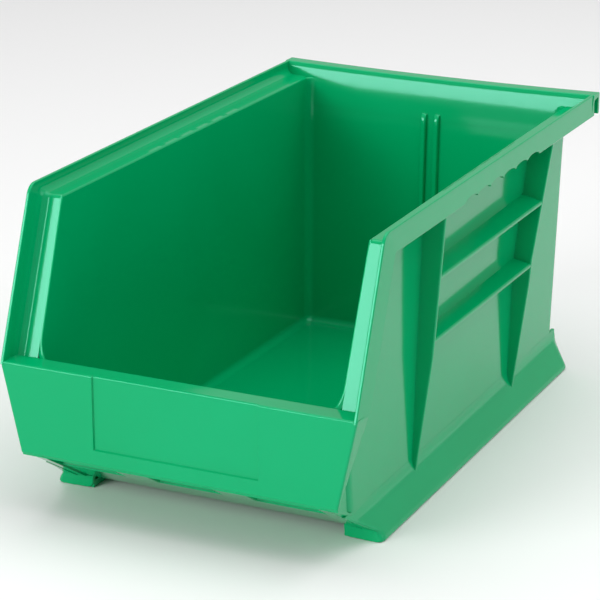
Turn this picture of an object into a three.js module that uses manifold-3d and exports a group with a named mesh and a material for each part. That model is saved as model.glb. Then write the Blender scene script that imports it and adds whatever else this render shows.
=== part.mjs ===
// A stackable storage bin with an open, sloping front. The real bin is one injection moulding: every
// feature is built here, joined into one shell, and the shell is then parted at flat planes into named
// sections. Millimetres, +Z up, front towards -Y, origin on the floor under the middle of the bin.
import * as THREE from "three";
import { mergeVertices } from "three/addons/utils/BufferGeometryUtils.js";
import Module from "manifold-3d";

const wasm = await Module();
wasm.setup();

// Overall sizes
const width = 209.55;
const depth = 374.65;
const height = 177.8;

// Walls and floor
const wall = 2.5;
const floorGap = 3.5; // clearance under the floor between the feet
const bodySetback = 15.275; // outside of the rim to the outside of the wall, at the floor and front
const sideDraft = 0.0194; // outward lean of the side walls per mm of height
const planTaper = 0.0092; // how much each side wall closes in per mm towards the rear
const rearInset = 17.15; // rear wall outside to rearmost edge, at the floor
const rearDraft = 0.0265;
const creaseShift = 0.55; // how far the crease of the floor moves back per mm of inset
const rearCorner = 8;
const frontCorner = 10;

// Rim: a flat ledge below an upright lip
const lipHeight = 8;
const lip = 2.475;
const lipSkirt = 5.6; // how far the lip hangs below the ledge
const ledgeFillet = 4;
const cornerSetback = 33.1; // front edge of the lip to the front face, at the top
const flangeReach = 15.67; // front of the sloping lip to its ledge, along y
const flangeThick = 2.65; // thickness of that ledge, along y
const hookSlot = 6.7; // clear gap between the rear of the rim and the hook
const hookDrop = 13.6;

// Front panel
const frontTop = 87.3;
const frontLedge = 13.7;
const panelBottom = 35.6;
const panelLean = 1.6;
const panelThick = 2.4;
const panelSetback = 11.175; // how much narrower each side of the panel is at the bottom
const returnHead = 6; // depth of the side returns at the top and at the bottom
const returnFoot = 3.4;
const labelHalf = 48.5;
const labelBottom = 45;
const labelDeep = 1.2;
const rampFoot = 55; // where the sloping underside meets the flat floor
const frontWallDraft = 0.178;
const wallFootDrop = 5; // foot of the panel down to where the front wall becomes the front slope
const plateProud = 0.1;
const blockInner = 19;
const blockOuter = 39;
const endSetback = 23.775; // outside of the rim to the inside of the solid corner

// Feet
const skirtTop = 20;
const skirtSetback = 3.775; // outside of the rim to the foot of the skirt, at the front
const skirtTaper = 0.0075;
const skirtEdge = 1.5;
const footSetback = 28.275; // outside of the rim to the inside of the foot
const footFront = 50.5;
const footCap = 2.5;
const footHeight = 8;
const footLean = 2.7;
const skirtRearGap = 14; // rear end of the feet to the rearmost edge
const runnerGap = 4; // rear end of the runners to the rear end of the skirts

// Side ribs, shelves and finger grips
const ribFrontAt = 116;
const ribRearAt = 272;
const ribRearLean = 19; // how far the upper part of the rear rib leans back
const ribThick = 2.5;
const ribRoot = 0.4; // what stays on the wall where a rib is parted from it
const ribBottom = 8;
const ribMidSetback = 5.575; // outside of the rim to the edge of a rib at ribMidAt, and at its bottom
const ribFootSetback = 14.775;
const ribMidAt = 83;
const shelfDrop = 33.2; // foot of the lip down to the upper shelf
const shelfPitch = 37;
const ribLeanRise = 2; // the rear rib starts to lean this far above the lower shelf
const gripCount = 6;
const gripPitch = 20;
const gripDeep = 2.6;
const gripCusp = 1; // flat between two grips
const gripMargin = 2; // plain stretch at either end of the run of grips

// Divider guides inside the rear wall
const guideGap = 5.2;
const guideWide = 3.4;
const guideDrop = 13.8; // ledge down to the top of the guides
const guideProud = 3.2;

// How far cutting shapes and joined shapes run on past the face that they meet
const clear = 20;
const lap = 1;
const deepLap = 4;
const arcSteps = 6;
const gripSteps = 64;

const halfWidth = width / 2;
const bodyHalf = halfWidth - bodySetback;
const ledgeTop = height - lipHeight;
const lipInner = halfWidth - lip;
const lipFoot = ledgeTop - lipSkirt;
const wallPlane = Math.ceil(bodyHalf + sideDraft * height) + lap; // outside every side wall
const corePlane = Math.floor(bodyHalf - planTaper * depth - wall - lap / 2); // inside every side wall
const shelfUpper = lipFoot - shelfDrop;
const shelfLower = shelfUpper - shelfPitch;
const ribLeanFrom = shelfLower + ribLeanRise;
const guideTop = ledgeTop - guideDrop;
const footInner = halfWidth - footSetback;
const slope = cornerSetback / (height - frontTop); // front edge, y per mm of height
const slantBack = flangeReach + flangeThick;
const rampSlope = (panelBottom - floorGap) / (rampFoot - panelLean);

const half = (y, z) => bodyHalf + sideDraft * z - planTaper * y;
const rearOut = (z) => depth - rearInset + rearDraft * z;
const frontOut = (z) => frontLedge - wall + frontWallDraft * (frontTop - z);
const panelAt = (z) => (panelLean * (frontTop - z)) / (frontTop - panelBottom);

function toSolid(geometry) {
  geometry.deleteAttribute("normal");
  geometry.deleteAttribute("uv");
  const merged = mergeVertices(geometry, 1e-4);
  const { position } = merged.attributes;
  return new wasm.Manifold(
    new wasm.Mesh({
      numProp: 3,
      vertProperties: new Float32Array(position.array),
      triVerts: new Uint32Array(merged.index.array),
    }),
  );
}

const join = (solids) => solids.reduce((all, one) => all.add(one));
const flip = (solid) => solid.mirror([1, 0, 0]);
const both = (solid) => solid.add(flip(solid));

// Closed solid between two rings with the same number of points. toPlane gives each point's place in a
// plane whose normal points from the first ring to the second.
function bridge(first, second, toPlane) {
  const n = first.length;
  const outline = first.map((point) => new THREE.Vector2(...toPlane(point)));
  if (THREE.ShapeUtils.isClockWise(outline)) {
    return bridge([...first].reverse(), [...second].reverse(), toPlane);
  }
  const faces = THREE.ShapeUtils.triangulateShape(outline, []);
  const index = [];
  for (const [a, b, c] of faces) index.push(a, c, b, a + n, b + n, c + n);
  for (let i = 0; i < n; i++) {
    const j = (i + 1) % n;
    index.push(i, j, j + n, i, j + n, i + n);
  }
  const g = new THREE.BufferGeometry();
  g.setAttribute("position", new THREE.Float32BufferAttribute([...first, ...second].flat(), 3));
  g.setIndex(index);
  return toSolid(g);
}

// From an outline in (x, y) at height z0 to another at z1
const loftUp = (lower, z0, upper, z1) =>
  bridge(lower.map(([x, y]) => [x, y, z0]), upper.map(([x, y]) => [x, y, z1]), ([x, y]) => [x, y]);

// From an outline in (x, z) at y0 to another at y1
const loftBack = (front, y0, rear, y1) =>
  bridge(front.map(([x, z]) => [x, y0, z]), rear.map(([x, z]) => [x, y1, z]), ([x, , z]) => [z, x]);

// An outline in (y, z), from x0 to x1
const alongX = (outline, x0, x1) =>
  bridge(outline.map(([y, z]) => [x0, y, z]), outline.map(([y, z]) => [x1, y, z]), ([, y, z]) => [y, z]);

const alongY = (outline, y0, y1) => loftBack(outline, y0, outline, y1);
const alongZ = (outline, z0, z1) => loftUp(outline, z0, outline, z1);

const block = (x0, x1, y0, y1, z0, z1) => alongZ([[x0, y0], [x1, y0], [x1, y1], [x0, y1]], z0, z1);

// Plan of the tapered body at one height, inset by a margin, with rounded corners
function plan(z, inset) {
  const y0 = frontOut(z) + frontCorner;
  const y1 = rearOut(z) - rearCorner;
  const corners = [
    [half(y0, z) - frontCorner, y0, frontCorner - inset, -90],
    [half(y1, z) - rearCorner, y1, rearCorner - inset, 0],
    [rearCorner - half(y1, z), y1, rearCorner - inset, 90],
    [frontCorner - half(y0, z), y0, frontCorner - inset, 180],
  ];
  return corners.flatMap(([x, y, r, from]) =>
    Array.from({ length: arcSteps + 1 }, (_, i) => {
      const angle = THREE.MathUtils.degToRad(from + (90 * i) / arcSteps);
      return [x + r * Math.cos(angle), y + r * Math.sin(angle)];
    }),
  );
}

// Basket: tapered tub with a sloping front underside and a sloping front opening
const rampCut = (inset) => {
  const y1 = rampFoot + inset * creaseShift;
  const z1 = floorGap + inset;
  const front = [-width, z1 + rampSlope * (y1 + width)];
  return alongX([[y1, z1], front, [-width, -clear], [y1, -clear]], -width, width);
};
const basketOutside = loftUp(plan(floorGap, 0), floorGap, plan(ledgeTop, 0), ledgeTop).subtract(rampCut(0));
const basketInside = loftUp(
  plan(floorGap + wall, wall),
  floorGap + wall,
  plan(height + deepLap, wall),
  height + deepLap,
).subtract(rampCut(wall));
const opening = alongX(
  [
    [flangeReach, frontTop],
    [flangeReach + slope * (height - frontTop + clear), height + clear],
    [-clear, height + clear],
    [-clear, frontTop],
  ],
  -width,
  width,
);

// Side plates carry the side walls forward to the front panel, standing just proud of them
const wallSkin = (outset) => {
  const ring = (z) => [
    [-half(0, z) - outset, 0],
    [half(0, z) + outset, 0],
    [half(depth, z) + outset, depth],
    [-half(depth, z) - outset, depth],
  ];
  return loftUp(ring(0), 0, ring(height), height);
};
const plateEnd = frontOut(panelBottom) + frontCorner + 2 * lap;
const sidePlate = alongX(
  [
    [panelLean + panelThick / 2, panelBottom],
    [plateEnd, panelBottom - rampSlope * (plateEnd - panelLean)],
    [plateEnd, frontTop - wall / 2],
    [panelThick / 2, frontTop - wall / 2],
  ],
  corePlane,
  width,
)
  .intersect(wallSkin(plateProud))
  .subtract(wallSkin(-wall / 2));

// Rim of each side: wall top, ledge, fillet and upright lip, as one outline in (x, z)
const fillet = Array.from({ length: arcSteps + 1 }, (_, i) => {
  const angle = THREE.MathUtils.degToRad(-90 + (90 * i) / arcSteps);
  return [
    lipInner - ledgeFillet + ledgeFillet * Math.cos(angle),
    ledgeTop + ledgeFillet + ledgeFillet * Math.sin(angle),
  ];
});
const rimOutline = [
  [half(0, ledgeTop) - wall / 2, ledgeTop - wall],
  [half(0, ledgeTop) - wall / 2, ledgeTop],
  ...fillet,
  [lipInner, height],
  [halfWidth, height],
  [halfWidth, lipFoot],
  [lipInner, lipFoot],
  [lipInner, ledgeTop - wall],
];
const lipRear = depth - wall - hookSlot;
const rimRun = alongY(rimOutline, cornerSetback, lipRear);
const stripInner = half(depth, ledgeTop) - wall - deepLap;
const ledgeStrip = alongZ(
  [
    [stripInner, cornerSetback],
    [half(0, ledgeTop), cornerSetback],
    [half(0, ledgeTop), lipRear],
    [stripInner, lipRear],
  ],
  ledgeTop - wall,
  ledgeTop,
);
const rimRear = block(-lipInner, lipInner, rearOut(ledgeTop) - wall, lipRear, ledgeTop - wall, ledgeTop);
const lipRearWall = block(-halfWidth, halfWidth, lipRear - wall, lipRear, ledgeTop - wall, height);
const hookWeb = block(-halfWidth, halfWidth, lipRear, depth, height - wall, height);
const hookLeaf = block(-halfWidth, halfWidth, depth - wall, depth, height - hookDrop, height);

// Front edge of each side: the same ledge and lip carried down to the front panel
const slant = (from, to, x0, x1) =>
  alongX(
    [
      [from, frontTop],
      [from + slope * (height - frontTop), height],
      [to + slope * (height - frontTop), height],
      [to, frontTop],
    ],
    x0,
    x1,
  );
const flangeLip = slant(0, slantBack, lipInner, halfWidth);
const flangeLedge = slant(flangeReach, slantBack, corePlane, halfWidth).intersect(
  block(0, width, 0, depth, frontTop, ledgeTop),
);

// Front panel with its label recess, ledge, side returns and the blocks behind it
const panelOutline = [
  [0, frontTop],
  [panelLean, panelBottom],
  [panelLean + panelThick, panelBottom],
  [panelThick, frontTop],
];
const panelShape = alongY(
  [
    [-halfWidth, frontTop],
    [halfWidth, frontTop],
    [halfWidth - panelSetback, panelBottom],
    [panelSetback - halfWidth, panelBottom],
  ],
  -clear,
  rampFoot,
);
const labelCut = alongX(
  [
    [-clear, labelBottom],
    [labelDeep + panelAt(labelBottom), labelBottom],
    [labelDeep, frontTop],
    [labelDeep, frontTop + lap],
    [-clear, frontTop + lap],
  ],
  -labelHalf,
  labelHalf,
);
const ledgePlate = block(-halfWidth, halfWidth, 0, frontLedge + wall, frontTop - wall, frontTop);
const returnPlan = (outer, y, reach) => [
  [outer - lip, y],
  [outer, y],
  [outer, y + reach],
  [outer - lip, y + reach],
];
const sideReturn = loftUp(
  returnPlan(halfWidth - panelSetback, panelLean, returnFoot),
  panelBottom,
  returnPlan(halfWidth, 0, returnHead),
  frontTop,
);
const blockOutline = [
  [panelLean + panelThick / 2, panelBottom],
  [panelThick / 2, frontTop - wall / 2],
  [frontOut(frontTop) + wall / 2, frontTop - wall / 2],
  [frontOut(floorGap) + wall, panelBottom - rampSlope * (frontOut(floorGap) + wall - panelLean)],
];
const supportBlock = alongX(blockOutline, blockInner, blockOuter);
const endOutline = [
  [panelLean + panelThick / 2, panelBottom],
  [panelThick / 2, frontTop - wall / 2],
  [frontOut(frontTop) + frontCorner, frontTop - wall / 2],
  [frontOut(panelBottom) + frontCorner, panelBottom],
  [rampFoot, floorGap + wall],
  [rampFoot, floorGap],
];
const endRoom = panelShape.add(block(-width, width, 0, depth, 0, panelBottom));
const endShape = alongX(endOutline, halfWidth - endSetback, half(plateEnd, 0) - wall / 4).intersect(endRoom);

// Feet: a flared skirt along each side, an inner runner, and a cap at the front end
const skirtRear = depth - skirtRearGap;
const skirtAt = (y) => halfWidth - skirtSetback - skirtTaper * y;
const skirtOutline = (y) => [
  [half(y, skirtTop) - wall / 2, skirtTop + wall / 2],
  [skirtAt(y), skirtEdge],
  [skirtAt(y) - skirtEdge, 0],
  [skirtAt(y) - skirtEdge - wall, 0],
  [half(y, skirtTop) - wall / 2, skirtTop - wall],
];
const skirt = loftBack(skirtOutline(footFront), footFront, skirtOutline(skirtRear), skirtRear);
const capTop = floorGap + rampSlope * (rampFoot - footFront) + wall / 2;
const footOutline = [
  [footInner, capTop],
  [footInner, 0],
  [skirtAt(footFront) - skirtEdge - wall / 2, 0],
  [skirtAt(footFront) - skirtEdge - wall / 2 - footLean, footHeight],
  [half(footFront, footHeight) - wall / 2, footHeight],
  [half(footFront, footHeight) - wall, capTop],
];
const footFace = alongY(footOutline, footFront, footFront + footCap);
const runner = block(footInner, footInner + wall, footFront, skirtRear - runnerGap, 0, floorGap + lap);

// Ribs, shelves and grips on the outside of each side wall
const ribTaper = alongY(
  [
    [half(0, 0) - wall, ribBottom],
    [halfWidth - ribFootSetback, ribBottom],
    [halfWidth - ribMidSetback, ribMidAt],
    [halfWidth, lipFoot],
    [halfWidth, lipFoot + lap],
    [lipInner, ledgeTop - wall / 2],
    [half(depth, ledgeTop) - wall, ledgeTop - wall / 2],
    [half(depth, 0) - wall / 2, ribBottom],
  ],
  0,
  depth,
);
const ribLine = (y, lean) => [
  [y, 0],
  [y, ribLeanFrom],
  [y + lean, ledgeTop],
  [y + lean + ribThick, ledgeTop],
  [y + ribThick, ribLeanFrom],
  [y + ribThick, 0],
];
const inCore = wallSkin(-wall / 2);
const ribFront = alongX(ribLine(ribFrontAt, 0), corePlane, width).intersect(ribTaper).subtract(inCore);
const ribRear = alongX(ribLine(ribRearAt, ribRearLean), corePlane, width)
  .intersect(ribTaper)
  .subtract(inCore);
const rearRibAt = (z) =>
  ribRearAt + (ribRearLean * Math.max(0, z - ribLeanFrom)) / (ledgeTop - ribLeanFrom);
const shelf = (z) =>
  block(corePlane, width, ribFrontAt + ribThick / 2, rearRibAt(z - wall) + ribThick / 2, z - wall, z)
    .intersect(ribTaper)
    .subtract(inCore);
const gripStart = (ribFrontAt + rearRibAt(lipFoot) - gripCount * gripPitch) / 2;
const gripEnd = gripStart + gripCount * gripPitch;
const gripHalf = (gripPitch - gripCusp) / 2;
const gripRadius = (gripHalf ** 2 + gripDeep ** 2) / (2 * gripDeep);
const grips = join(
  Array.from({ length: gripCount }, (_, i) => {
    const g = new THREE.CylinderGeometry(gripRadius, gripRadius, clear, gripSteps).rotateZ(Math.PI / 2);
    g.translate(halfWidth, gripStart + (i + 0.5) * gripPitch, lipFoot + gripDeep - gripRadius);
    return toSolid(g);
  }),
).intersect(block(lipInner - lap, width, 0, depth, lipFoot - lap, ledgeTop - wall));

// Divider guides
const guideLine = (y, z) => [y + rearOut(z) - wall, z];
const guides = both(
  alongX(
    [
      guideLine(-guideProud, floorGap + wall / 2),
      guideLine(wall / 2, floorGap + wall / 2),
      guideLine(wall / 2, guideTop),
      guideLine(-guideProud, guideTop),
    ],
    guideGap / 2,
    guideGap / 2 + guideWide,
  ),
);

const shell = join([
  basketOutside.subtract(basketInside).subtract(opening),
  both(sidePlate),
  both(rimRun),
  both(ledgeStrip).subtract(basketInside),
  rimRear.subtract(basketInside),
  lipRearWall,
  hookWeb,
  hookLeaf,
  both(flangeLip),
  both(flangeLedge).subtract(basketInside),
  alongX(panelOutline, -width, width).intersect(panelShape),
  ledgePlate.subtract(basketInside),
  both(sideReturn),
  both(supportBlock).subtract(basketInside),
  both(endShape).subtract(basketInside),
  both(skirt),
  both(footFace),
  both(runner),
  both(ribFront),
  both(ribRear),
  both(shelf(shelfUpper)),
  both(shelf(shelfLower)),
  guides,
])
  .subtract(labelCut)
  .subtract(both(grips));

// Parting: each section is cut from what is left of the shell, so neighbours share their cut faces
const group = new THREE.Group();
group.name = "storage_bin";
const far = 2 * (width + depth + height);
let rest = shell;

function add(name, solid, color) {
  const { vertProperties, triVerts } = solid.getMesh();
  const g = new THREE.BufferGeometry();
  g.setAttribute("position", new THREE.BufferAttribute(new Float32Array(vertProperties), 3));
  g.setIndex(new THREE.BufferAttribute(new Uint32Array(triVerts), 1));
  g.computeVertexNormals();
  const material = new THREE.MeshStandardMaterial({ color, roughness: 0.28, metalness: 0 });
  const mesh = new THREE.Mesh(g, material);
  mesh.name = name;
  group.add(mesh);
}

// The largest body in a region; anything else there is a crumb of rounding error
function cut(region) {
  const bodies = rest.intersect(region).decompose();
  rest = rest.subtract(region);
  return bodies.reduce((most, one) => (one.volume() > most.volume() ? one : most));
}

const take = (name, region, color) => add(name, cut(region), color);

// The left section is the right one's mirror image
function takePair(name, region, color) {
  const right = cut(region);
  rest = rest.subtract(flip(region));
  add(`${name}_r`, right, color);
  add(`${name}_l`, flip(right), color);
}

const green = 0x02a25f;
const panelBack = panelLean + panelThick;
const floorTop = floorGap + wall;
const ledgeUnder = ledgeTop - wall;
const slopeEnd = rampFoot + wall;
const frontWallFoot = panelBottom - wallFootDrop;
const rimRearStart = depth - rearInset - deepLap;
const middle = (y0, y1, z0, z1) => block(-corePlane, corePlane, y0, y1, z0, z1);
const outsideWall = block(0, far, -far, far, skirtTop, lipFoot).subtract(wallSkin(ribRoot));

take("hang_hook", block(-far, far, lipRear, far, -far, far), green);
take("label_panel", block(-far, far, -far, panelBack, -far, frontTop), green);
take("front_ledge", middle(panelBack, frontLedge + 2 * wall, frontTop - wall, frontTop), green);
takePair("panel_block", block(blockInner, blockOuter, panelBack, frontLedge - wall, 0, far), green);
take("body_front_wall", middle(panelBack, rampFoot, frontWallFoot, frontTop), green);
takePair(
  "foot_cap",
  block(footInner - lap, far, -far, footFront + footCap, -lap, floorGap)
    .add(block(corePlane, far, -far, footFront + footCap, -lap, footHeight)),
  green,
);
takePair("foot_runner", block(footInner - lap, corePlane, footFront, far, -lap, floorGap), green);
take("floor_front_slope", middle(panelBack, slopeEnd, 0, frontWallFoot), green);
takePair(
  "guide_rib",
  basketInside.intersect(
    block(guideGap / 2, guideGap / 2 + guideWide, depth / 2, far, floorTop, guideTop + lap),
  ),
  green,
);
take("rear_rim", block(-far, far, rimRearStart, far, lipFoot, far), green);
take("floor_plate", middle(slopeEnd, far, 0, floorTop), green);
take("rear_wall", middle(depth / 2, far, floorTop, lipFoot), green);
takePair(
  "finger_grip",
  block(wallPlane, far, gripStart - gripMargin, gripEnd + gripMargin, lipFoot, ledgeUnder),
  green,
);
takePair(
  "side_rim",
  block(0, far, 0, far, ledgeUnder, far).add(block(wallPlane, far, 0, far, lipFoot, far)),
  green,
);
takePair("front_flange", block(wallPlane, far, -far, ribFrontAt - lap, frontTop, far), green);
takePair("front_corner", block(corePlane, far, 0, frontLedge + 2 * wall, 0, frontTop), green);
for (const [name, top] of [["upper_shelf", shelfUpper], ["lower_shelf", shelfLower]]) {
  const run = block(0, far, ribFrontAt + ribThick, rearRibAt(top - wall), top - wall, top);
  takePair(name, outsideWall.intersect(run), green);
}
takePair("front_rib", outsideWall.intersect(block(0, far, ribFrontAt - lap, depth / 2, 0, far)), green);
takePair("rear_rib", outsideWall.intersect(block(0, far, depth / 2, far, 0, far)), green);
takePair("side_skirt", block(corePlane, far, 0, far, -lap, skirtTop), green);
takePair("side_wall", block(corePlane, far, 0, far, skirtTop, ledgeUnder), green);
group.position.y = -depth / 2;

export default group;
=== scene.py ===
import math

import bpy
import numpy as np
from mathutils import Matrix, Vector


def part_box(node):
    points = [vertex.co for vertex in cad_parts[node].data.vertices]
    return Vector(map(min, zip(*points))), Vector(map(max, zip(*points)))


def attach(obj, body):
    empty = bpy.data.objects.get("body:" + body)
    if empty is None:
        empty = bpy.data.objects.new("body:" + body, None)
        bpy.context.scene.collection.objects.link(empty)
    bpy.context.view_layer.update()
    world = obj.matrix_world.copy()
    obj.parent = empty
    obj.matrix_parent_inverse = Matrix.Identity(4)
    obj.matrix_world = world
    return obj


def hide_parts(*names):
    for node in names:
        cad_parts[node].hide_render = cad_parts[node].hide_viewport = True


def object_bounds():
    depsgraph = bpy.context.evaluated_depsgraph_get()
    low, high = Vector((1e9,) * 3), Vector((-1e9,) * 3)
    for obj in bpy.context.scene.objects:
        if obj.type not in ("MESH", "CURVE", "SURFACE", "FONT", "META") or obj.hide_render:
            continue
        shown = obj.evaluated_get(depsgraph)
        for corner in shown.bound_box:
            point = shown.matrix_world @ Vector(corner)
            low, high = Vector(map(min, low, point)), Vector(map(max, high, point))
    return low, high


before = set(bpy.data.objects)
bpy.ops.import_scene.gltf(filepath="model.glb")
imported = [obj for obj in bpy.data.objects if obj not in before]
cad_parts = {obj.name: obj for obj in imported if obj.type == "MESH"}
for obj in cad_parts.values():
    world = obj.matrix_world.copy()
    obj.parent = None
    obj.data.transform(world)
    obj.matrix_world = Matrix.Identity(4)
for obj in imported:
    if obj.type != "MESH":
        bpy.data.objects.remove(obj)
cadBox = [list(corner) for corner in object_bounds()]

mm = 0.001
wall = 2.5 * mm  # thickness of every wall
lip = 2.475 * mm  # thickness of the upright lip
hair = 0.03 * mm  # keeps a skin off one that it runs along
film = 0.05 * mm  # how far a skin that covers another stands off it

# the frame's own lines; every skin below measures y back from the front face
low, high = (np.array(corner) for corner in cadBox)
front, rear = low[1], high[1]
halfWide, top = high[0], high[2]
depth = rear - front
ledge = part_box("finger_grip_r")[1].z + wall
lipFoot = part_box("finger_grip_r")[0].z
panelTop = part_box("label_panel")[1].z
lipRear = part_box("hang_hook")[0].y - front
print("frame read", [round(float(v), 4) for v in high - low])


# ease from 0 to 1, flat at both ends: three x squared less two x cubed
def smoothStep(x):
    x = np.clip(x, 0, 1)
    return x * x * (3 - 2 * x)


# angles of a quarter turn, evenly spread
def quarter(steps):
    return np.radians(np.linspace(0, 90, steps))


# points (y, z) on a circle between two angles, evenly spread
def arcPoints(cy, cz, radius, fromDeg, toDeg, steps=5):
    angle = np.radians(np.linspace(fromDeg, toDeg, steps))
    return [(cy + radius * math.cos(a), cz + radius * math.sin(a)) for a in angle]


# quads between the neighbours of a grid of rows x columns points, wrapped round either way where it closes
def gridFaces(rows, columns, closeRows, closeColumns):
    r = np.arange(rows if closeRows else rows - 1)
    c = np.arange(columns if closeColumns else columns - 1)
    r0, c0 = np.meshgrid(r, c, indexing="ij")
    r1, c1 = (r0 + 1) % rows, (c0 + 1) % columns
    corners = [r0 * columns + c0, r0 * columns + c1, r1 * columns + c1, r1 * columns + c0]
    return np.stack([corner.ravel() for corner in corners], 1)


# closed skin from rings of points (rows, columns, 3): each ring wraps round, and a flat face closes each end
def tube(grid, closeRows=False):
    rows, columns = grid.shape[:2]
    faces = gridFaces(rows, columns, closeRows, True).tolist()
    if not closeRows:
        faces.append(list(range(columns)))
        faces.append(list(range(rows * columns - 1, (rows - 1) * columns - 1, -1)))
    return grid.reshape(-1, 3), faces


plateRound = 0.9 * mm  # outer corners of ribs, shelves and the panel's side faces


# a plate that stands out in x: at each station a rectangle whose two outer corners are quarter circles;
# gives x, the place across the plate and the station, one row for each station
def plateGrid(stations, outer, inner, lowSide, highSide):
    outer, inner, lowSide, highSide = np.broadcast_arrays(outer, inner, lowSide, highSide)
    turn = quarter(5)[1:]
    rise = [outer - plateRound + plateRound * math.sin(a) for a in turn]
    step = [plateRound * (1 - math.cos(a)) for a in turn]
    x = [inner, outer - plateRound] + rise + rise[::-1] + [outer - plateRound, inner]
    across = [lowSide, lowSide] + [lowSide + s for s in step]
    across += [highSide - s for s in step[::-1]] + [highSide, highSide]
    x, across = np.stack(x, 1), np.stack(across, 1)
    return x, across, np.broadcast_to(stations[:, None], x.shape)


# turns a skin's faces outwards: the volume summed over fans of triangles, a . (b x c), comes out positive
def outward(points, faces):
    volume = 0.0
    for count in {len(face) for face in faces}:
        corners = points[np.array([face for face in faces if len(face) == count])]
        volume += float(np.einsum("fck,fk->", np.cross(corners[:, 1:-1], corners[:, 2:]), corners[:, 0]))
    return faces if volume > 0 else [list(face)[::-1] for face in faces]


# the same skin on the other side: x changes sign and each face runs the other way
def mirrored(skin):
    points, faces = skin
    return points * np.array([-1.0, 1.0, 1.0]), [list(face)[::-1] for face in faces]


shrink = {"bow": 2.6 * mm, "sag": 0.7 * mm, "from": 285 * mm}  # how the tall rear has drawn in as it cooled


# forward and down by a parabola across the width, eased in along the depth and up the height
def settle(points):
    settled = points.copy()
    share = smoothStep((points[:, 1] - front - shrink["from"]) / (depth - shrink["from"]))
    share = share * smoothStep(points[:, 2] / top) * np.clip(1 - (points[:, 0] / halfWide) ** 2, 0, 1)
    settled[:, 1] -= shrink["bow"] * share
    settled[:, 2] -= shrink["sag"] * share
    return settled


finish = {"sharpAngle": 38, "normalWeight": 70}


# puts skins, and their mirror images if both, into one object that stands for the CAD nodes
def moulding(name, skins, nodes, both=False):
    everyPoint, everyFace, start = [], [], 0
    for points, faces in skins:
        skin = (points, outward(points, faces))
        for side in [skin, mirrored(skin)] if both else [skin]:
            everyPoint.append(side[0])
            everyFace += [[corner + start for corner in face] for face in side[1]]
            start += len(side[0])
    points = np.concatenate(everyPoint) + np.array([0, front, 0])
    mesh = bpy.data.meshes.new(name)
    mesh.from_pydata(settle(points).tolist(), [], everyFace)
    mesh.validate()
    mesh.shade_smooth()
    mesh.set_sharp_from_angle(angle=math.radians(finish["sharpAngle"]))
    mesh.materials.append(binPlastic)
    piece = bpy.data.objects.new(name, mesh)
    bpy.context.scene.collection.objects.link(piece)
    normals = piece.modifiers.new("weightedNormals", "WEIGHTED_NORMAL")
    normals.keep_sharp = True
    normals.weight = finish["normalWeight"]
    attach(piece, "root")
    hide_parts(*nodes)
    print("made", name, len(mesh.polygons), "faces")


def pair(name):
    return [name + "_l", name + "_r"]


# a new shader node: its own settings by name, its sockets' values in a dictionary
def addNode(tree, kind, sockets=None, **settings):
    node = tree.nodes.new(kind)
    for key, value in settings.items():
        setattr(node, key, value)
    for socket, value in (sockets or {}).items():
        node.inputs[socket].default_value = value
    return node


mouldFace = {"flowDetail": 3, "flowWarp": 0.6, "rippleDetail": 2, "rippleShare": 0.35, "rubDetail": 5,
             "rubStretch": (0.12, 1.0, 0.35), "rubFrom": 0.58, "rubTo": 0.74}


# uneven gloss of a polished steel mould: broad flow clouds, faint rub marks where stretched noise passes a
# threshold, and a height of the clouds plus a share of fine ripple
def mouldedSurface():
    group = bpy.data.node_groups.new("mouldedSurface", "ShaderNodeTree")
    for name in ["Flow Scale", "Ripple Scale", "Rub Scale"]:
        group.interface.new_socket(name, in_out="INPUT", socket_type="NodeSocketFloat")
    for name in ["Flow", "Rub", "Height"]:
        group.interface.new_socket(name, in_out="OUTPUT", socket_type="NodeSocketFloat")
    given = addNode(group, "NodeGroupInput")
    out = addNode(group, "NodeGroupOutput")
    place = addNode(group, "ShaderNodeTexCoord").outputs["Object"]
    flow = addNode(group, "ShaderNodeTexNoise",
                   {"Detail": mouldFace["flowDetail"], "Distortion": mouldFace["flowWarp"]})
    ripple = addNode(group, "ShaderNodeTexNoise", {"Detail": mouldFace["rippleDetail"]})
    stretch = addNode(group, "ShaderNodeMapping", {"Scale": mouldFace["rubStretch"]})
    rub = addNode(group, "ShaderNodeTexNoise", {"Detail": mouldFace["rubDetail"]})
    sharpen = addNode(group, "ShaderNodeMapRange",
                      {"From Min": mouldFace["rubFrom"], "From Max": mouldFace["rubTo"]})
    soften = addNode(group, "ShaderNodeMath", {1: mouldFace["rippleShare"]}, operation="MULTIPLY")
    height = addNode(group, "ShaderNodeMath", operation="ADD")
    link = group.links.new
    link(place, flow.inputs["Vector"])
    link(place, ripple.inputs["Vector"])
    link(place, stretch.inputs["Vector"])
    link(stretch.outputs["Vector"], rub.inputs["Vector"])
    link(given.outputs["Flow Scale"], flow.inputs["Scale"])
    link(given.outputs["Ripple Scale"], ripple.inputs["Scale"])
    link(given.outputs["Rub Scale"], rub.inputs["Scale"])
    link(rub.outputs["Fac"], sharpen.inputs["Value"])
    link(ripple.outputs["Fac"], soften.inputs[0])
    link(flow.outputs["Fac"], height.inputs[0])
    link(soften.outputs["Value"], height.inputs[1])
    link(flow.outputs["Fac"], out.inputs["Flow"])
    link(sharpen.outputs["Result"], out.inputs["Rub"])
    link(height.outputs["Value"], out.inputs["Height"])
    return group


plastic = {"deep": (0.0, 0.345, 0.115, 1), "light": (0.0, 0.395, 0.145, 1), "rough": (0.07, 0.13),
           "rubRough": 0.06, "bump": 0.02, "bumpDeep": 2 * mm, "ior": 1.47, "tint": (0.45, 1.0, 0.92, 1),
           "flowScale": 9.0, "rippleScale": 140.0, "rubScale": 700.0}


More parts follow.
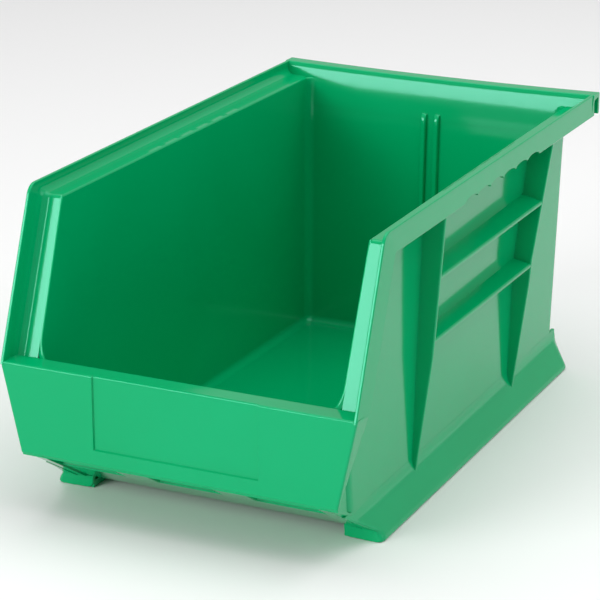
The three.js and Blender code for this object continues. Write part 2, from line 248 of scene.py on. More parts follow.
# glossy green polypropylene: colour and gloss drift with the flow clouds, rub marks add to the roughness
def binGreen(surface):
    material = bpy.data.materials.new("binGreen")
    material.use_nodes = True
    tree = material.node_tree
    shader = tree.nodes["Principled BSDF"]
    scales = {"Flow Scale": plastic["flowScale"], "Ripple Scale": plastic["rippleScale"],
              "Rub Scale": plastic["rubScale"]}
    detail = addNode(tree, "ShaderNodeGroup", scales, node_tree=surface)
    colour = addNode(tree, "ShaderNodeMix", {"A": plastic["deep"], "B": plastic["light"]}, data_type="RGBA")
    lowRough, highRough = plastic["rough"]
    rough = addNode(tree, "ShaderNodeMapRange", {"To Min": lowRough, "To Max": highRough})
    worn = addNode(tree, "ShaderNodeMath", {1: plastic["rubRough"]}, operation="MULTIPLY_ADD")
    bump = addNode(tree, "ShaderNodeBump", {"Strength": plastic["bump"], "Distance": plastic["bumpDeep"]})
    shader.inputs["IOR"].default_value = plastic["ior"]
    shader.inputs["Specular Tint"].default_value = plastic["tint"]
    link = tree.links.new
    link(detail.outputs["Flow"], colour.inputs["Factor"])
    link(detail.outputs["Flow"], rough.inputs["Value"])
    link(detail.outputs["Rub"], worn.inputs[0])
    link(rough.outputs["Result"], worn.inputs[2])
    link(detail.outputs["Height"], bump.inputs["Height"])
    link(colour.outputs["Result"], shader.inputs["Base Color"])
    link(worn.outputs["Value"], shader.inputs["Roughness"])
    link(bump.outputs["Normal"], shader.inputs["Normal"])
    return material


binPlastic = binGreen(mouldedSurface())
print("material ready")


# the tub: walls, floor and front slope
lipSlope = 33.1 / 90.5  # sloping front edge, run back over rise
flangeDeep = 14.05 * mm  # its flange, from front to back
tub = {"half": 89.5 * mm, "sideDraft": 0.0194, "planTaper": 0.0092, "rearInset": 17.15 * mm,
       "rearDraft": 0.0265, "rearCorner": 8 * mm, "frontCorner": 10 * mm, "frontDraft": 0.178,
       "frontLedge": 13.7 * mm, "floorGap": 3.5 * mm, "rampFoot": 55 * mm, "rampRise": 0.6007,
       "creaseShift": 1.4 * mm, "creaseSoft": 3.5 * mm, "floorFillet": 4.5 * mm, "edgeRound": 1.2 * mm,
       "outerTuck": 1.9 * mm, "baseLap": 2 * mm, "flareFrom": 146 * mm, "flareRadius": 130 * mm,
       "floorEnds": (24.5, 356.5), "floorRear": 358.2 * mm, "crowding": 1.6}


# outer face of a side wall: a half width, plus draft times height, less taper times distance back
def wallX(y, z):
    return tub["half"] + tub["sideDraft"] * z - tub["planTaper"] * y


# how far the rear wall swings back at a height, on an arc tangent to the wall: its radius, less the root of
# radius squared less rise squared
def flareAt(z):
    rise = np.maximum(z - tub["flareFrom"], 0)
    return tub["flareRadius"] - np.sqrt(tub["flareRadius"] ** 2 - rise ** 2)


# top of the floor: flat, then up the front slope, with the crease rounded as a branch of a hyperbola
def floorTopZ(y):
    ahead = tub["rampFoot"] + tub["creaseShift"] - y
    climb = 0.5 * (ahead + np.sqrt(ahead * ahead + tub["creaseSoft"] ** 2))
    return tub["floorGap"] + wall + tub["rampRise"] * climb


# top edge of the wall: level at the panel, up the line of the sloping front edge, level at the side ledge
def rimLine(y):
    start = flangeDeep / math.cos(math.atan(lipSlope))
    return np.clip(panelTop + (y - start) / lipSlope, panelTop, ledge)


# stations round the plan: a quarter arc at each corner, then shares of the straight run to the next corner,
# crowded towards the front by a power of the share
def planStations(straight, arc):
    corners, nextCorners, angles, shares = [], [], [], []
    for corner, count in enumerate(straight):
        turn = -math.pi / 2 + corner * math.pi / 2 + quarter(arc)
        share = np.linspace(0, 1, count + 2)[1:-1]
        if corner == 0:
            share = share ** tub["crowding"]
        if corner == 2:
            share = 1 - (1 - share) ** tub["crowding"]
        corners += [corner] * (arc + count)
        nextCorners += [corner] * arc + [(corner + 1) % 4] * count
        angles += list(turn) + [turn[-1]] * count
        shares += [0.0] * arc + list(share)
    return [np.array(values) for values in (corners, nextCorners, angles, shares)]


# point on a corner's arc: the centre stands one radius inside the drafted walls, and the point lies radius
# less inset away from it
def planPoint(corner, angle, z, inset):
    isFront = (corner == 0) | (corner == 3)
    radius = np.where(isFront, tub["frontCorner"], tub["rearCorner"])
    frontY = tub["frontLedge"] - wall + tub["frontDraft"] * (panelTop - z) + tub["frontCorner"]
    rearY = depth - tub["rearInset"] + tub["rearDraft"] * z - tub["rearCorner"] + flareAt(z)
    cy = np.where(isFront, frontY, rearY)
    cx = np.where(corner < 2, 1.0, -1.0) * (wallX(cy, z) - radius)
    return cx + (radius - inset) * np.cos(angle), cy + (radius - inset) * np.sin(angle)


# height of a ring over a place: a value above the floor, below the rim or above the base, or a share of the
# inner or the outer face between its rounded ends
def ringHeight(kind, value, y):
    rim, floor = rimLine(y), floorTopZ(y)
    innerFoot, innerHead = floor + tub["floorFillet"], rim - tub["edgeRound"]
    outerFoot, outerHead = floor - wall + tub["floorFillet"], rim - tub["outerTuck"]
    if kind == "inside":
        return innerFoot + (innerHead - innerFoot) * value
    if kind == "outside":
        return outerFoot + (outerHead - outerFoot) * value
    return {"floor": floor, "rim": rim, "base": floor - wall}[kind] + value


# rings of inset and height carried round the plan: floor fillet, inner face, round top edge, outer face, base
# fillet; the walls lean, so height and place are found together in steps that each take half the error
def wallSkin():
    corner, nextCorner, angle, share = planStations([90, 24, 90, 24], 13)
    fillet, edge, tuck = tub["floorFillet"], tub["edgeRound"], tub["outerTuck"]
    turn = quarter(7)
    rings = [(wall + fillet * (1 - math.sin(a)), "floor", fillet * (1 - math.cos(a)) + hair) for a in turn]
    rings += [(wall, "inside", part) for part in np.linspace(0, 1, 14)[1:-1]]
    rings += [(wall - edge * (1 - math.cos(a)), "rim", -edge * (1 - math.sin(a))) for a in turn]
    rings += [(wall - edge - 0.25 * mm, "rim", -0.35 * mm), (0.35 * mm, "rim", -1.4 * mm), (0, "rim", -tuck)]
    rings += [(0, "outside", part) for part in np.linspace(1, 0, 14)[1:]]
    rings += [(fillet * (1 - math.cos(a)), "base", fillet * (1 - math.sin(a))) for a in turn[1:]]
    rings += [(fillet + tub["baseLap"], "base", 0.4 * mm)]
    grid = []
    for inset, kind, value in rings:
        z = np.full(len(share), 0.1)
        for _ in range(14):
            x0, y0 = planPoint(corner, angle, z, inset)
            x1, y1 = planPoint(nextCorner, angle, z, inset)
            x, y = x0 + (x1 - x0) * share, y0 + (y1 - y0) * share
            z = 0.5 * z + 0.5 * ringHeight(kind, value, y)
        grid.append(np.stack([x, y, z], 1))
    return tube(np.array(grid), closeRows=True)


# sheet of constant thickness under the floor's line, its rear corners drawn in by quarter circles
def floorSkin():
    first, last = tub["floorEnds"]
    y = np.concatenate([np.linspace(first, 45, 8), np.linspace(47, 66, 24), np.linspace(72, last, 30)]) * mm
    corner = tub["rearCorner"]
    past = np.clip((y - (tub["floorRear"] - corner)) / corner, 0, 1)
    halfX = wallX(y, 6 * mm) - wall / 2 - corner * (1 - np.sqrt(1 - past ** 2))
    x = halfX[:, None] * np.linspace(-1, 1, 25)
    fullY = np.broadcast_to(y[:, None], x.shape)
    upper = np.stack([x, fullY, floorTopZ(fullY)], 2)
    lower = (upper - np.array([0, 0, wall - film]))[:, ::-1]
    return tube(np.concatenate([upper, lower], 1))


moulding("tub", [wallSkin(), floorSkin()],
         ["floor_plate", "floor_front_slope", "body_front_wall", "rear_wall"] + pair("side_wall"))


# side rims and sloping front flanges
rim = {"thick": 2.5 * mm, "fillet": 4.6 * mm, "crown": 0.6 * mm, "lean": 0.55 * mm, "ledgeRadius": 3 * mm,
       "noseRadius": 8 * mm, "slantFoot": 16.6 * mm, "footRound": 0.7 * mm, "underReach": 1.6 * mm,
       "underDrop": 1.3 * mm, "startDrop": 1.5 * mm, "notch": 0.9 * mm, "grip": 2.6 * mm,
       "gripPitch": 20 * mm, "gripCount": 6, "gripStart": 145 * mm}


# side view of one line of the rim: for s 0-1 up the slope, 1-2 round an arc, 2-3 level to the rear; behind is
# its distance back from the lip's front edge, square to the slope
def rimCurve(behind, level, radius, s):
    lean = math.atan(lipSlope)
    turn = math.pi / 2 - lean
    run = radius * math.tan(turn / 2)
    startZ = panelTop - rim["startDrop"]
    startY = lipSlope * (startZ - panelTop) + behind / math.cos(lean)
    meetY = lipSlope * (level - panelTop) + behind / math.cos(lean)
    endY, endZ = meetY - run * math.sin(lean), level - run * math.cos(lean)
    up, bend, back = np.clip(s, 0, 1), np.clip(s - 1, 0, 1), np.clip(s - 2, 0, 1)
    angle = math.pi - lean - turn * bend
    y = np.where(s <= 1, startY + (endY - startY) * up, meetY + run + radius * np.cos(angle))
    z = np.where(s <= 1, startZ + (endZ - startZ) * up, level - radius + radius * np.sin(angle))
    y = np.where(s >= 2, meetY + run + (lipRear - meetY - run) * back, y)
    return y, np.where(s >= 2, level, z)


# arches along the grip: half circles side by side, zero outside the run of grips
def gripWave(y):
    along = (y - rim["gripStart"]) / rim["gripPitch"]
    inside = (along > 0) & (along < rim["gripCount"])
    return np.where(inside, np.sqrt(np.clip(1 - (2 * (along % 1) - 1) ** 2, 0, 1)), 0.0)


# rim section carried along the slope and the side: ledge, concave fillet, lip with a round crown, lip foot
# raised by the grip wave, and the underside back to the wall
def rimSkin():
    s = np.concatenate([np.linspace(0, 1, 16)[:-1], np.linspace(1, 2, 11)[:-1], np.linspace(2, 3, 300)])
    thick, fillet, crown, foot = rim["thick"], rim["fillet"], rim["crown"], rim["footRound"]
    deep, drop = rim["slantFoot"], rim["underDrop"]
    inner, outer = halfWide - lip, halfWide - rim["lean"]
    rise, footRise = top - ledge, lipFoot - ledge
    lines = []  # what x is measured from, x, height over the ledge, distance behind, share of the grip wave

    def line(start, x, height, behind=None, grip=0.0):
        squeezed = flangeDeep - height * flangeDeep / rise  # on the slope, height becomes depth
        lines.append((start, x, height, squeezed if behind is None else behind, grip))

    line("wall", -wall / 2, -thick, flangeDeep + thick)
    line("wall", -wall / 2, -0.4 * mm, flangeDeep + 0.4 * mm)
    line("edge", -wall + tub["edgeRound"] - 0.15 * mm, 0)
    line("middle", inner - fillet - 1 * mm, 0)
    for a in quarter(9):
        line("middle", inner - fillet * (1 - math.sin(a)), fillet * (1 - math.cos(a)))
    for a in quarter(5):
        down = crown * (1 - math.sin(a))
        line("middle", inner + crown * (1 - math.cos(a)), rise - down, down)
    for a in quarter(5)[::-1]:
        down = crown * (1 - math.sin(a))
        line("middle", outer - crown * (1 - math.cos(a)), rise - down, down)
    for a in quarter(4):
        up = foot * (1 - math.sin(a))
        line("middle", halfWide - foot * (1 - math.cos(a)), footRise + up, deep - up, 1.0)
    for a in quarter(4)[::-1]:
        up = foot * (1 - math.sin(a))
        line("middle", inner + foot * (1 - math.cos(a)), footRise + up, deep - up, 1.0)
    line("middle", inner, -thick - 0.3 * mm, deep - 0.2 * mm)
    line("middle", inner - 0.8 * mm, -thick, deep)
    line("wall", rim["underReach"], -thick, deep)
    line("wall", 0.2 * mm, -thick - drop, deep + drop)
    line("wall", -wall / 2, -thick - drop, deep + drop)
    grid = []
    for start, x, height, behind, grip in lines:
        radius = np.interp(ledge + height, [ledge, top], [rim["ledgeRadius"], rim["noseRadius"]])
        y, z = rimCurve(behind, ledge + height, radius, s)
        wave = gripWave(y)
        startX = {"middle": 0 * y, "wall": wallX(y, z), "edge": wallX(y, z) + rim["notch"] * wave}[start]
        grid.append(np.stack([startX + x, y, z + grip * rim["grip"] * wave], 1))
    return tube(np.swapaxes(np.array(grid), 0, 1))


moulding("sideRims", [rimSkin()], pair("side_rim") + pair("front_flange") + pair("finger_grip"), both=True)


# rear rim and hang hook
hook = {"drop": 13.6 * mm, "leaf": 2.5 * mm, "web": 2.6 * mm, "round": 1.3 * mm, "leafRound": 1.2 * mm,
        "webRound": 0.8 * mm, "slot": 1.5 * mm, "brimStep": 0.7 * mm, "lapDown": 2.6 * mm,
        "headDrop": 2.4 * mm, "endRound": 0.8 * mm, "endPinch": 0.98, "flareFoot": 152 * mm,
        "flareLap": 3 * mm}


# a face of the rear wall: its drafted line plus the flare, moved back by outset
def flareFace(z, outset):
    return depth - tub["rearInset"] - wall - hair + tub["rearDraft"] * z + flareAt(z) + outset


# a section (y, z) drawn from side to side, its two ends shrunk a little towards the section's middle
def acrossSkin(section, half):
    end = hook["endRound"]
    x = np.concatenate([[-half, -half + 0.25 * end], np.linspace(-half + end, half - end, 61),
                        [half - 0.25 * end, half]])
    yz = np.array(section)
    pinch = np.ones(len(x))
    pinch[[0, -1]] = hook["endPinch"]
    rings = yz.mean(0) + (yz[None] - yz.mean(0)) * pinch[:, None, None]
    return tube(np.concatenate([np.broadcast_to(x[:, None, None], rings.shape[:2] + (1,)), rings], 2))


# top of the flared rear wall between the tub's corners: the flare's face up, and one wall further back down
def flareSkin():
    z = np.linspace(hook["flareFoot"], ledge + hook["flareLap"], 12)
    section = list(zip(flareFace(z, 0), z)) + list(zip(flareFace(z, wall)[::-1], z[::-1]))
    return acrossSkin(section, wallX(lipRear, ledge) - wall - tub["rearCorner"] * 0.7)


# section of the rear rim: the flare up to a rounded brim, over it, down the hanging leaf, round its foot, up
# its inner face, and down the back of the flare
def rearRimSkin():
    z = np.linspace(ledge - hook["lapDown"], top - hook["headDrop"], 9)
    r, leafRound, webRound = hook["round"], hook["leafRound"], hook["webRound"]
    inside, under = depth - hook["leaf"], top - hook["web"]
    brimY = flareFace(z[-1], 0) + hook["brimStep"] + r
    section = list(zip(flareFace(z, 0), z)) + arcPoints(brimY, top - r, r, 172, 90)
    section += arcPoints(depth - r, top - r, r, 90, 0)
    section += arcPoints(depth - leafRound, top - hook["drop"] + leafRound, leafRound, 0, -180, 8)
    section += arcPoints(inside - webRound, under - webRound, webRound, 0, 90)
    back = np.linspace(under - 1 * mm, ledge - hook["lapDown"], 6)
    section += list(zip(np.minimum(flareFace(back, wall), inside - hook["slot"]), back))
    return acrossSkin(section, halfWide)


moulding("rearRim", [rearRimSkin(), flareSkin()], ["rear_rim", "hang_hook"])


# front panel, its corners and the support blocks behind it
panel = {"bottom": 35.6 * mm, "lean": 1.6 * mm, "thick": 2.4 * mm, "topHalf": 104.6 * mm,
         "bottomHalf": 93.5 * mm, "round": 1 * mm, "ledgeRound": 1.3 * mm, "footRound": 1.1 * mm,
         "backRound": 0.7 * mm, "sideRound": 1.2 * mm, "topDrop": 1.4 * mm, "labelHalf": 48.5 * mm,
         "labelBottom": 45 * mm, "labelDeep": 1.2 * mm, "labelEdge": 0.75 * mm, "frontFade": 1.6 * mm,
         "returnTop": 17 * mm, "returnBottom": 3.4 * mm, "cornerRound": 4 * mm, "cornerInner": 80.8 * mm,
         "blockInner": 19 * mm, "blockOuter": 39 * mm, "blockRound": 1 * mm}


# height of the front slope's plane under the panel: down by the slope's rise for each step back
def underPlane(y):
    return panel["bottom"] - tub["rampRise"] * (y - panel["lean"])


# half width of the panel, in proportion between its bottom and its top
def panelHalf(z):
    share = (z - panel["bottom"]) / (panelTop - panel["bottom"])
    return panel["bottomHalf"] + (panel["topHalf"] - panel["bottomHalf"]) * share


# how far back the leaning panel's face lies, in proportion from its top down to its bottom
def panelLean(z):
    return panel["lean"] * (panelTop - z) / (panelTop - panel["bottom"])


# height below which a place in y lies in front of the leaning front wall
def frontWallZ(y):
    behind = np.maximum(y - (tub["frontLedge"] - wall + 1 * mm), 0)
    return panelTop - panel["ledgeRound"] - behind / tub["frontDraft"]


# section (y, z) of ledge and hanging panel: ledge from its rear edge, rounded nose, face down, rounded foot,
# and back up behind the panel
def panelSection():
    r, nose, foot, inner = panel["round"], panel["ledgeRound"], panel["footRound"], panel["backRound"]
    thick, lean, bottom, label = panel["thick"], panel["lean"], panel["bottom"], panel["labelBottom"]
    deep = tub["frontLedge"]
    section = [(deep + 0.9 * mm, panelTop - wall), (deep + 0.5 * mm, panelTop - nose)]
    section += arcPoints(deep - 1.1 * mm, panelTop - nose, nose, 15, 90)
    section += [(deep * 0.5, panelTop), (r + nose, panelTop)]
    section += arcPoints(r, panelTop - r, r, 90, 180, 6)
    heights = np.concatenate([np.linspace(panelTop - 3 * mm, label + 2 * mm, 12),
                              label + np.array([0.35, 0.1, -0.1, -0.35]) * mm,
                              np.linspace(label - 2 * mm, bottom + 1.2 * mm, 5)])
    section += [(panelLean(z), z) for z in heights]
    section += arcPoints(lean + foot, bottom + foot, foot, 185, 270, 6)
    behind = arcPoints(lean + thick - inner, underPlane(lean + thick) + 0.9 * mm, inner, 250, 360, 4)
    behind += [(thick + 0.4 * mm, panelTop - wall - 1.5 * mm), (thick + 2 * mm, panelTop - wall)]
    return np.array(section + behind), len(section)


# the section drawn across the width: columns keep their x over the label recess and spread in proportion to
# the slanted sides beyond it; the face steps back by an ease inside the recess and round the side edges
def panelSkin():
    yz, faceCount = panelSection()
    label, edge, fade, bend = panel["labelHalf"], panel["labelEdge"], panel["frontFade"], panel["sideRound"]
    fixed = np.concatenate([np.linspace(0, label - 2 * mm, 8),
                            label + np.array([-1.2, -0.3, -0.08, 0.08, 0.3, 1.2, 6]) * mm])
    spread = np.linspace(0, 1, 9)[1:]
    turn = np.radians([20, 45, 70, 90])
    flatX = panelHalf(yz[:, 1]) - bend
    half = np.concatenate([np.broadcast_to(fixed[:, None], (len(fixed), len(yz))),
                           fixed[-1] + (flatX - fixed[-1]) * spread[:, None],
                           flatX + bend * np.sin(turn)[:, None]])
    back = np.concatenate([np.zeros(len(fixed) + len(spread)), bend * (1 - np.cos(turn))])
    x = np.concatenate([-half[:0:-1], half])
    back = np.concatenate([back[:0:-1], back])
    y, z = np.broadcast_to(yz[:, 0], x.shape), np.broadcast_to(yz[:, 1], x.shape)
    isFront = np.clip(1 - (y - panelLean(z)) / fade, 0, 1)
    inLabel = smoothStep(0.5 + (label - np.abs(x)) / edge)
    inLabel = inLabel * smoothStep(0.5 + (z - panel["labelBottom"]) / edge)
    onFace = np.arange(len(yz)) < faceCount
    recess = panel["labelDeep"] * inLabel * smoothStep(isFront * 1.6) * onFace
    return tube(np.stack([x, y + recess + back[:, None] * isFront, z], 2))


# side face behind the panel's edge: a plate on the panel's slanted side that reaches back to a straight line
def returnSkin():
    z = np.linspace(panel["bottom"] + 0.6 * mm, panelTop - 1.6 * mm, 14)
    ends = [panel["bottom"], panelTop]
    near = np.interp(z, ends, [panel["lean"] + panel["topDrop"], panel["topDrop"]])
    reach = np.interp(z, ends, [panel["returnBottom"], panel["returnTop"]])
    return tube(np.stack(plateGrid(z, panelHalf(z) - film, wallX(0, z) - 1 * mm, near, reach), 2))


# solid corner between panel and tub, flush with the side wall: its foot lies on the slope's plane, and its
# lower edge is a quarter circle
def cornerSkin():
    y = np.concatenate([np.linspace(1.95, 24, 18), np.linspace(26, 50, 12)]) * mm
    r = panel["cornerRound"]
    lowZ = underPlane(y) + 0.06 * mm
    highZ = np.maximum(np.minimum(panelTop - panel["topDrop"], frontWallZ(y)), lowZ + r + 0.5 * mm)
    inner = np.full_like(y, panel["cornerInner"])
    x = [inner, inner, wallX(y, highZ) - 1.2 * mm, wallX(y, highZ) + film, wallX(y, lowZ + r) + film]
    z = [lowZ, highZ, highZ, highZ - 0.3 * mm, lowZ + r]
    for a in quarter(7)[1:]:
        x.append(wallX(y, lowZ) + film - r * (1 - math.cos(a)))
        z.append(lowZ + r * (1 - math.sin(a)))
    x, z = np.stack(x, 1), np.stack(z, 1)
    return tube(np.stack([x, np.broadcast_to(y[:, None], x.shape), z], 2))


# support block between panel and front wall: an upright box with its lower edges rounded, cut off below by
# the slope's plane and above by the front wall
def blockSkin():
    y = np.concatenate([[2.6], np.linspace(4, 21, 14)]) * mm
    x0, x1, r = panel["blockInner"], panel["blockOuter"], panel["blockRound"]
    lowZ = underPlane(y) + 0.08 * mm
    highZ = np.minimum(panelTop - panel["topDrop"], frontWallZ(y))
    x = np.array([x0, x0, x1, x1, x1 - 0.3 * r, x1 - r, x0 + r, x0 + 0.3 * r])
    z = np.stack([lowZ + r, highZ, highZ, lowZ + r, lowZ + 0.3 * r, lowZ, lowZ, lowZ + 0.3 * r], 1)
    return tube(np.stack([np.broadcast_to(x, z.shape), np.broadcast_to(y[:, None], z.shape), z], 2))


moulding("frontPanel", [panelSkin()], ["front_ledge", "label_panel"])
moulding("frontCorners", [returnSkin(), cornerSkin()], pair("front_corner"), both=True)
moulding("panelBlocks", [blockSkin()], pair("panel_block"), both=True)


# ribs and shelves on the side walls
rib = {"front": 116 * mm, "rear": 272 * mm, "thick": 2.5 * mm, "leanFrom": 96 * mm, "lean": 19 * mm,
       "midHalf": 99.2 * mm, "midAt": 83 * mm, "footHalf": 90 * mm, "footAt": 8 * mm, "shelfFall": 0.22,
       "shelfInset": 0.25 * mm, "lipLap": 0.3 * mm, "root": wall / 2,
       "upper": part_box("upper_shelf_r")[1].z, "lower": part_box("lower_shelf_r")[1].z}


# outer edge of a rib: two straight lines, from the foot to the middle and on to the lip's foot
def ribOuter(z):
    heights = [rib["footAt"], rib["midAt"], lipFoot + 1 * mm]
    return np.interp(z, heights, [rib["footHalf"], rib["midHalf"], halfWide - rib["lipLap"]])


# how far back the rear rib leans: nothing up to a height, then in proportion up to the ledge
def ribLean(z):
    return rib["lean"] * np.maximum(z - rib["leanFrom"], 0) / (ledge - rib["leanFrom"])


# upright plate from the wall out to the rib's edge, held behind the lip above the lip's foot
def ribSkin(at, lean):
    z = np.concatenate([np.linspace(9, 94, 18), [95.5, 96.5], np.linspace(98, 167, 18)]) * mm
    behindLip = halfWide - lip + rib["lipLap"]
    outer = np.where(z > lipFoot, np.minimum(ribOuter(z), behindLip), ribOuter(z))
    y = at + lean * ribLean(z)
    return tube(np.stack(plateGrid(z, outer, wallX(at, z) - rib["root"], y, y + rib["thick"]), 2))


# level plate between the two ribs, lifted towards the wall in proportion to the distance from its edge
def shelfSkin(level):
    y = np.linspace(rib["front"] + 1 * mm, rib["rear"] + ribLean(level) + 1 * mm, 40)
    outer = ribOuter(level) - rib["shelfInset"]
    x, z, along = plateGrid(y, outer, wallX(y, level) - rib["root"], level - rib["thick"], level)
    return tube(np.stack([x, along, z + (outer - x) * rib["shelfFall"]], 2))


moulding("sideRibs", [ribSkin(rib["front"], 0), ribSkin(rib["rear"], 1)],
         pair("front_rib") + pair("rear_rib"), both=True)
moulding("sideShelves", [shelfSkin(rib["upper"]), shelfSkin(rib["lower"])],
         pair("upper_shelf") + pair("lower_shelf"), both=True)


# skirts and feet
skirt = {"half": 101 * mm, "taper": 0.0075, "top": 20 * mm, "front": 50.5 * mm, "rearGap": 14 * mm,
         "join": 4.2 * mm, "round": 2.6 * mm, "fold": 6.2 * mm, "endRound": 6 * mm, "noseRound": 2.5 * mm,
         "solidTo": 6 * mm, "inner": 76.5 * mm, "capThick": 2.5 * mm, "footRound": 4 * mm,
         "footInset": 1.6 * mm, "runnerRound": 0.5 * mm}


# point on a quadratic curve from a to c that is drawn towards b
def blend(a, b, c, t):
    return (1 - t) ** 2 * a + 2 * t * (1 - t) * b + t * t * c


# outer face of the skirt as (x, z) points for each y: out of the wall by a quadratic blend, down a straight
# ramp, and round the lower edge by another blend
def skirtProfile(y):
    foot = skirt["half"] - skirt["taper"] * y
    wallAt = wallX(y, skirt["top"])
    run = foot - wallAt
    r, level = skirt["round"], 0 * y

    def rampX(z):
        return foot - run * z / skirt["top"]

    highZ = skirt["top"] + skirt["join"]
    lowZ = skirt["top"] - skirt["join"] * np.cos(np.arctan2(run, skirt["top"]))
    points = [(blend(wallX(y, highZ), wallAt, rampX(lowZ), t) + film, blend(highZ, skirt["top"], lowZ, t))
              for t in np.linspace(0, 1, 8)]
    points += [(rampX(z), z + level) for z in (skirt["fold"], r * 1.3)]
    points += [(blend(rampX(r * 1.3), foot - 0.2 * mm, foot - r, t), (1 - t) ** 2 * r * 1.3 + level)
               for t in np.linspace(0.25, 1, 5)]
    return points


# flared skirt along the side, hollow beneath and solid at both ends: the front end lies on the slope's plane
# and on the foot's face, and the rear end is rounded off in plan by a quarter circle
def skirtSkin():
    y0, yEnd, endRound = skirt["front"], depth - skirt["rearGap"], skirt["endRound"]
    ahead = np.array([0, 0.25, 0.8, 1.8, 3.2, 4.6]) * mm
    hollowFrom = y0 + skirt["solidTo"]
    along = np.concatenate([[hollowFrom, hollowFrom + 0.2 * mm],
                            np.linspace(hollowFrom + 3 * mm, yEnd - 8 * mm, 36),
                            yEnd - np.array([6, 4.2, 2.8, 1.6, 0.7, 0.15, 0]) * mm])
    y = np.concatenate([y0 + ahead, along])
    ring = np.arange(len(y))
    solid = (ring <= len(ahead)) | (ring >= len(y) - 7)
    endCut = endRound * (1 - np.sqrt(1 - np.clip((y - (yEnd - endRound)) / endRound, 0, 1) ** 2))
    noseCut = np.concatenate([1 - np.sqrt(1 - (1 - ahead / ahead[-1]) ** 2), 0 * along])
    face = skirtProfile(y)
    xs, zs = [], [z for _, z in face]
    for x, z in face:
        out = np.maximum(x - wallX(y, z), 0)
        rearCut = np.minimum(endCut * np.clip(1 - z / skirt["top"], 0, 1), out)
        xs.append(x - rearCut - noseCut * np.minimum(skirt["noseRound"], 0.6 * out))
    rootX = wallX(y, 12 * mm) - wall * 0.6
    insideX = np.where(solid, rootX, face[-1][0] - wall)
    xs += [insideX, np.where(solid, rootX, insideX - 0.2 * mm), rootX, rootX]
    zs += [0 * y, np.where(solid, 2 * mm, 1 * mm), np.where(solid, skirt["fold"], skirt["top"] - 6 * mm),
           skirt["top"] + skirt["join"] + 0 * y]
    x, z = np.stack(xs, 1), np.stack(zs, 1)
    onPlane = panel["lean"] + (panel["bottom"] - z) / tub["rampRise"] + film
    places = np.broadcast_to(y[:, None], x.shape).copy()
    places[:len(ahead)] = np.minimum(y0, onPlane)[:len(ahead)] + ahead[:, None]
    points, faces = tube(np.stack([x, places, z], 2))
    columns, fold = x.shape[1], 8  # the front end folds at this point of the profile, so it takes two faces
    frontEnd = [list(range(fold + 1)) + [columns - 2, columns - 1], list(range(fold, columns - 1))]
    return points, faces[:-2] + faces[-1:] + frontEnd


# front plate of a foot: an outline (x, z) with round lower corners that follows the skirt's face, drawn in a
# little at its front edge, below the fold only
def footSkin():
    r, inner, front0 = skirt["footRound"], skirt["inner"], skirt["front"]
    profile = [(float(x[0]), float(z[0])) for x, z in skirtProfile(np.array([front0]))]
    outer = [(x - skirt["footInset"], z) for x, z in profile if z < 7 * mm][::-1]
    rootX = float(wallX(front0, 9 * mm)) - wall * 1.2
    capTop = tub["floorGap"] + tub["rampRise"] * (tub["rampFoot"] - front0) + 1 * mm
    outline = [(inner, capTop)]
    outline += [(inner + r * (1 - math.cos(a)), r * (1 - math.sin(a))) for a in quarter(7)]
    outline += outer + [(rootX, skirt["fold"]), (rootX, capTop)]
    xz = np.array(outline)
    away = xz - xz.mean(0)
    away = away / np.linalg.norm(away, axis=1)[:, None]
    drawnIn = np.array([0.7, 0.25, 0.05, 0, 0]) * mm
    y = front0 + np.array([-0.02 * mm, 0.12 * mm, 0.4 * mm, 0.7 * mm, skirt["capThick"]])
    below = np.clip((skirt["fold"] - 1 * mm - xz[:, 1]) / (1 * mm), 0, 1)
    rings = xz[None] - (away * below[:, None])[None] * drawnIn[:, None, None]
    return tube(np.stack([rings[..., 0], np.broadcast_to(y[:, None], rings.shape[:2]), rings[..., 1]], 2))


# straight runner under the floor: an upright strip with its two lower edges rounded
def runnerSkin():
    y = np.linspace(skirt["front"] + 1 * mm, depth - skirt["rearGap"] - 4 * mm, 12)
    x0, x1, r = skirt["inner"], skirt["inner"] + wall, skirt["runnerRound"]
    head = tub["floorGap"] + 0.6 * mm
    section = np.array([(x0, head), (x0, r), (x0 + 0.3 * r, 0.3 * r), (x0 + r, 0), (x1 - r, 0),
                        (x1 - 0.3 * r, 0.3 * r), (x1, r), (x1, head)])
    return tube(np.stack(np.broadcast_arrays(section[None, :, 0], y[:, None], section[None, :, 1]), 2))


moulding("skirts", [skirtSkin(), footSkin(), runnerSkin()],
         pair("side_skirt") + pair("foot_cap") + pair("foot_runner"), both=True)


# divider guides on the rear wall
guide = {"gap": 5.2 * mm, "wide": 3.4 * mm, "proud": 3.2 * mm, "fadeFrom": 150 * mm, "fade": 6.2 * mm,
         "squareness": 0.5, "root": 1.2 * mm}


# strip up the rear wall: half a superellipse in section, its height fading at the top by a quarter circle
def guideSkin():
    z = np.concatenate([np.linspace(4, 148, 24), np.linspace(149, 156, 8)]) * mm
    wallY = depth - tub["rearInset"] + tub["rearDraft"] * z - wall
    fade = np.clip((z - guide["fadeFrom"]) / guide["fade"], 0, 1)
    proud = guide["proud"] * np.sqrt(1 - fade ** 2) + 0.02 * mm
    a = np.radians(np.linspace(0, 180, 13))
    half, power = guide["wide"] / 2, guide["squareness"]
    middle = guide["gap"] / 2 + half
    arch = middle + half * np.sign(np.cos(a)) * np.abs(np.cos(a)) ** power
    x = np.concatenate([arch, [middle - half, middle + half]])
    out = np.concatenate([np.abs(np.sin(a)) ** power, [0, 0]])
    root = np.concatenate([0 * a, [guide["root"], guide["root"]]])
    y = wallY[:, None] - proud[:, None] * out + root
    return tube(np.stack([np.broadcast_to(x, y.shape), y, np.broadcast_to(z[:, None], y.shape)], 2))


moulding("guideRibs", [guideSkin()], pair("guide_rib"), both=True)


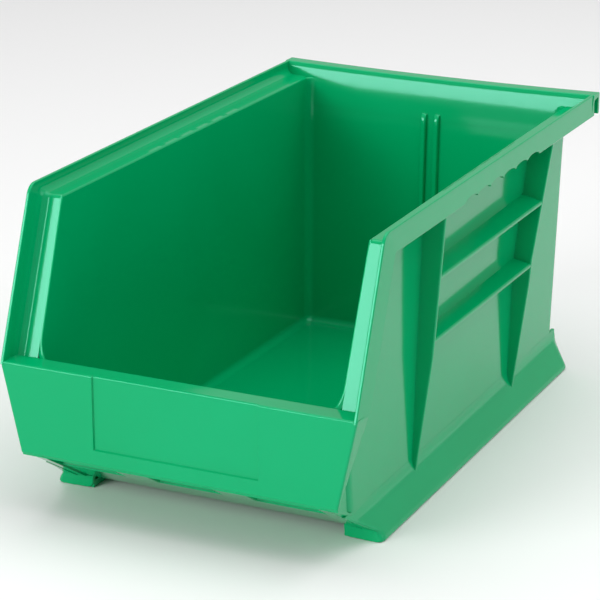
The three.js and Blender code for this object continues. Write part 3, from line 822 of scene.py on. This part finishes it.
# studio: a pale floor, three softboxes and an even world
studio = {"floorHalf": 3, "floorPoints": 33, "floorGap": 0.2 * mm, "floorGrey": (0.86, 0.86, 0.86, 1),
          "floorRough": 0.8, "worldGlow": 0.5, "aim": (0, 0, 0.1)}
softboxes = {"keySoftbox": {"place": (-0.95, -2.1, 0.85), "size": (1.1, 0.9), "power": 30},
             "topSoftbox": {"place": (0.3, 0.2, 1.9), "size": (2.4, 2.4), "power": 30},
             "sideSoftbox": {"place": (2.2, 0.6, 0.9), "size": (1.2, 1.2), "power": 6}}


# rectangular light that looks from its place to the aim point
def softbox(name, place, size, power):
    light = bpy.data.lights.new(name, "AREA")
    light.shape = "RECTANGLE"
    light.size, light.size_y = size
    light.energy = power
    lamp = bpy.data.objects.new(name, light)
    lamp.location = place
    lamp.rotation_euler = (Vector(studio["aim"]) - Vector(place)).to_track_quat("-Z", "Y").to_euler()
    bpy.context.scene.collection.objects.link(lamp)


# flat square grid just below the bin's soles
def paleFloor():
    half, n = studio["floorHalf"], studio["floorPoints"]
    x, y = np.meshgrid(np.linspace(-half, half, n), np.linspace(-half, half, n), indexing="ij")
    points = np.stack([x.ravel(), y.ravel(), np.full(n * n, low[2] - studio["floorGap"])], 1)
    mesh = bpy.data.meshes.new("floor")
    mesh.from_pydata(points.tolist(), [], gridFaces(n, n, False, False)[:, ::-1].tolist())
    floor = bpy.data.objects.new("floor", mesh)
    bpy.context.scene.collection.objects.link(floor)
    material = bpy.data.materials.new("paleFloor")
    material.use_nodes = True
    shader = material.node_tree.nodes["Principled BSDF"]
    shader.inputs["Base Color"].default_value = studio["floorGrey"]
    shader.inputs["Roughness"].default_value = studio["floorRough"]
    mesh.materials.append(material)


paleFloor()
for name, box in softboxes.items():
    softbox(name, box["place"], box["size"], box["power"])

world = bpy.data.worlds.new("studio")
bpy.context.scene.world = world
world.use_nodes = True
world.node_tree.nodes["Background"].inputs["Color"].default_value = (1, 1, 1, 1)
world.node_tree.nodes["Background"].inputs["Strength"].default_value = studio["worldGlow"]

view = {"right": 0.58052, "ahead": 1.12656, "up": 0.55528, "yaw": 24.3, "pitch": 18.25, "roll": 0.70,
        "lens": 155.3, "sensor": 36, "farthest": 20}
camera = bpy.data.cameras.new("camera")
camera.sensor_width = view["sensor"]
camera.lens = view["lens"]
camera.clip_end = view["farthest"]
eye = bpy.data.objects.new("camera", camera)
eye.location = (view["right"], front - view["ahead"], view["up"])
yaw, pitch, roll = (math.radians(view[name]) for name in ("yaw", "pitch", "roll"))
aim = Matrix.Rotation(yaw, 3, "Z") @ Matrix.Rotation(math.pi / 2 - pitch, 3, "X")
eye.rotation_euler = (aim @ Matrix.Rotation(roll, 3, "Z")).to_euler()
bpy.context.scene.collection.objects.link(eye)
bpy.context.scene.camera = eye
bpy.context.scene.view_settings.view_transform = "Standard"
print("studio ready")
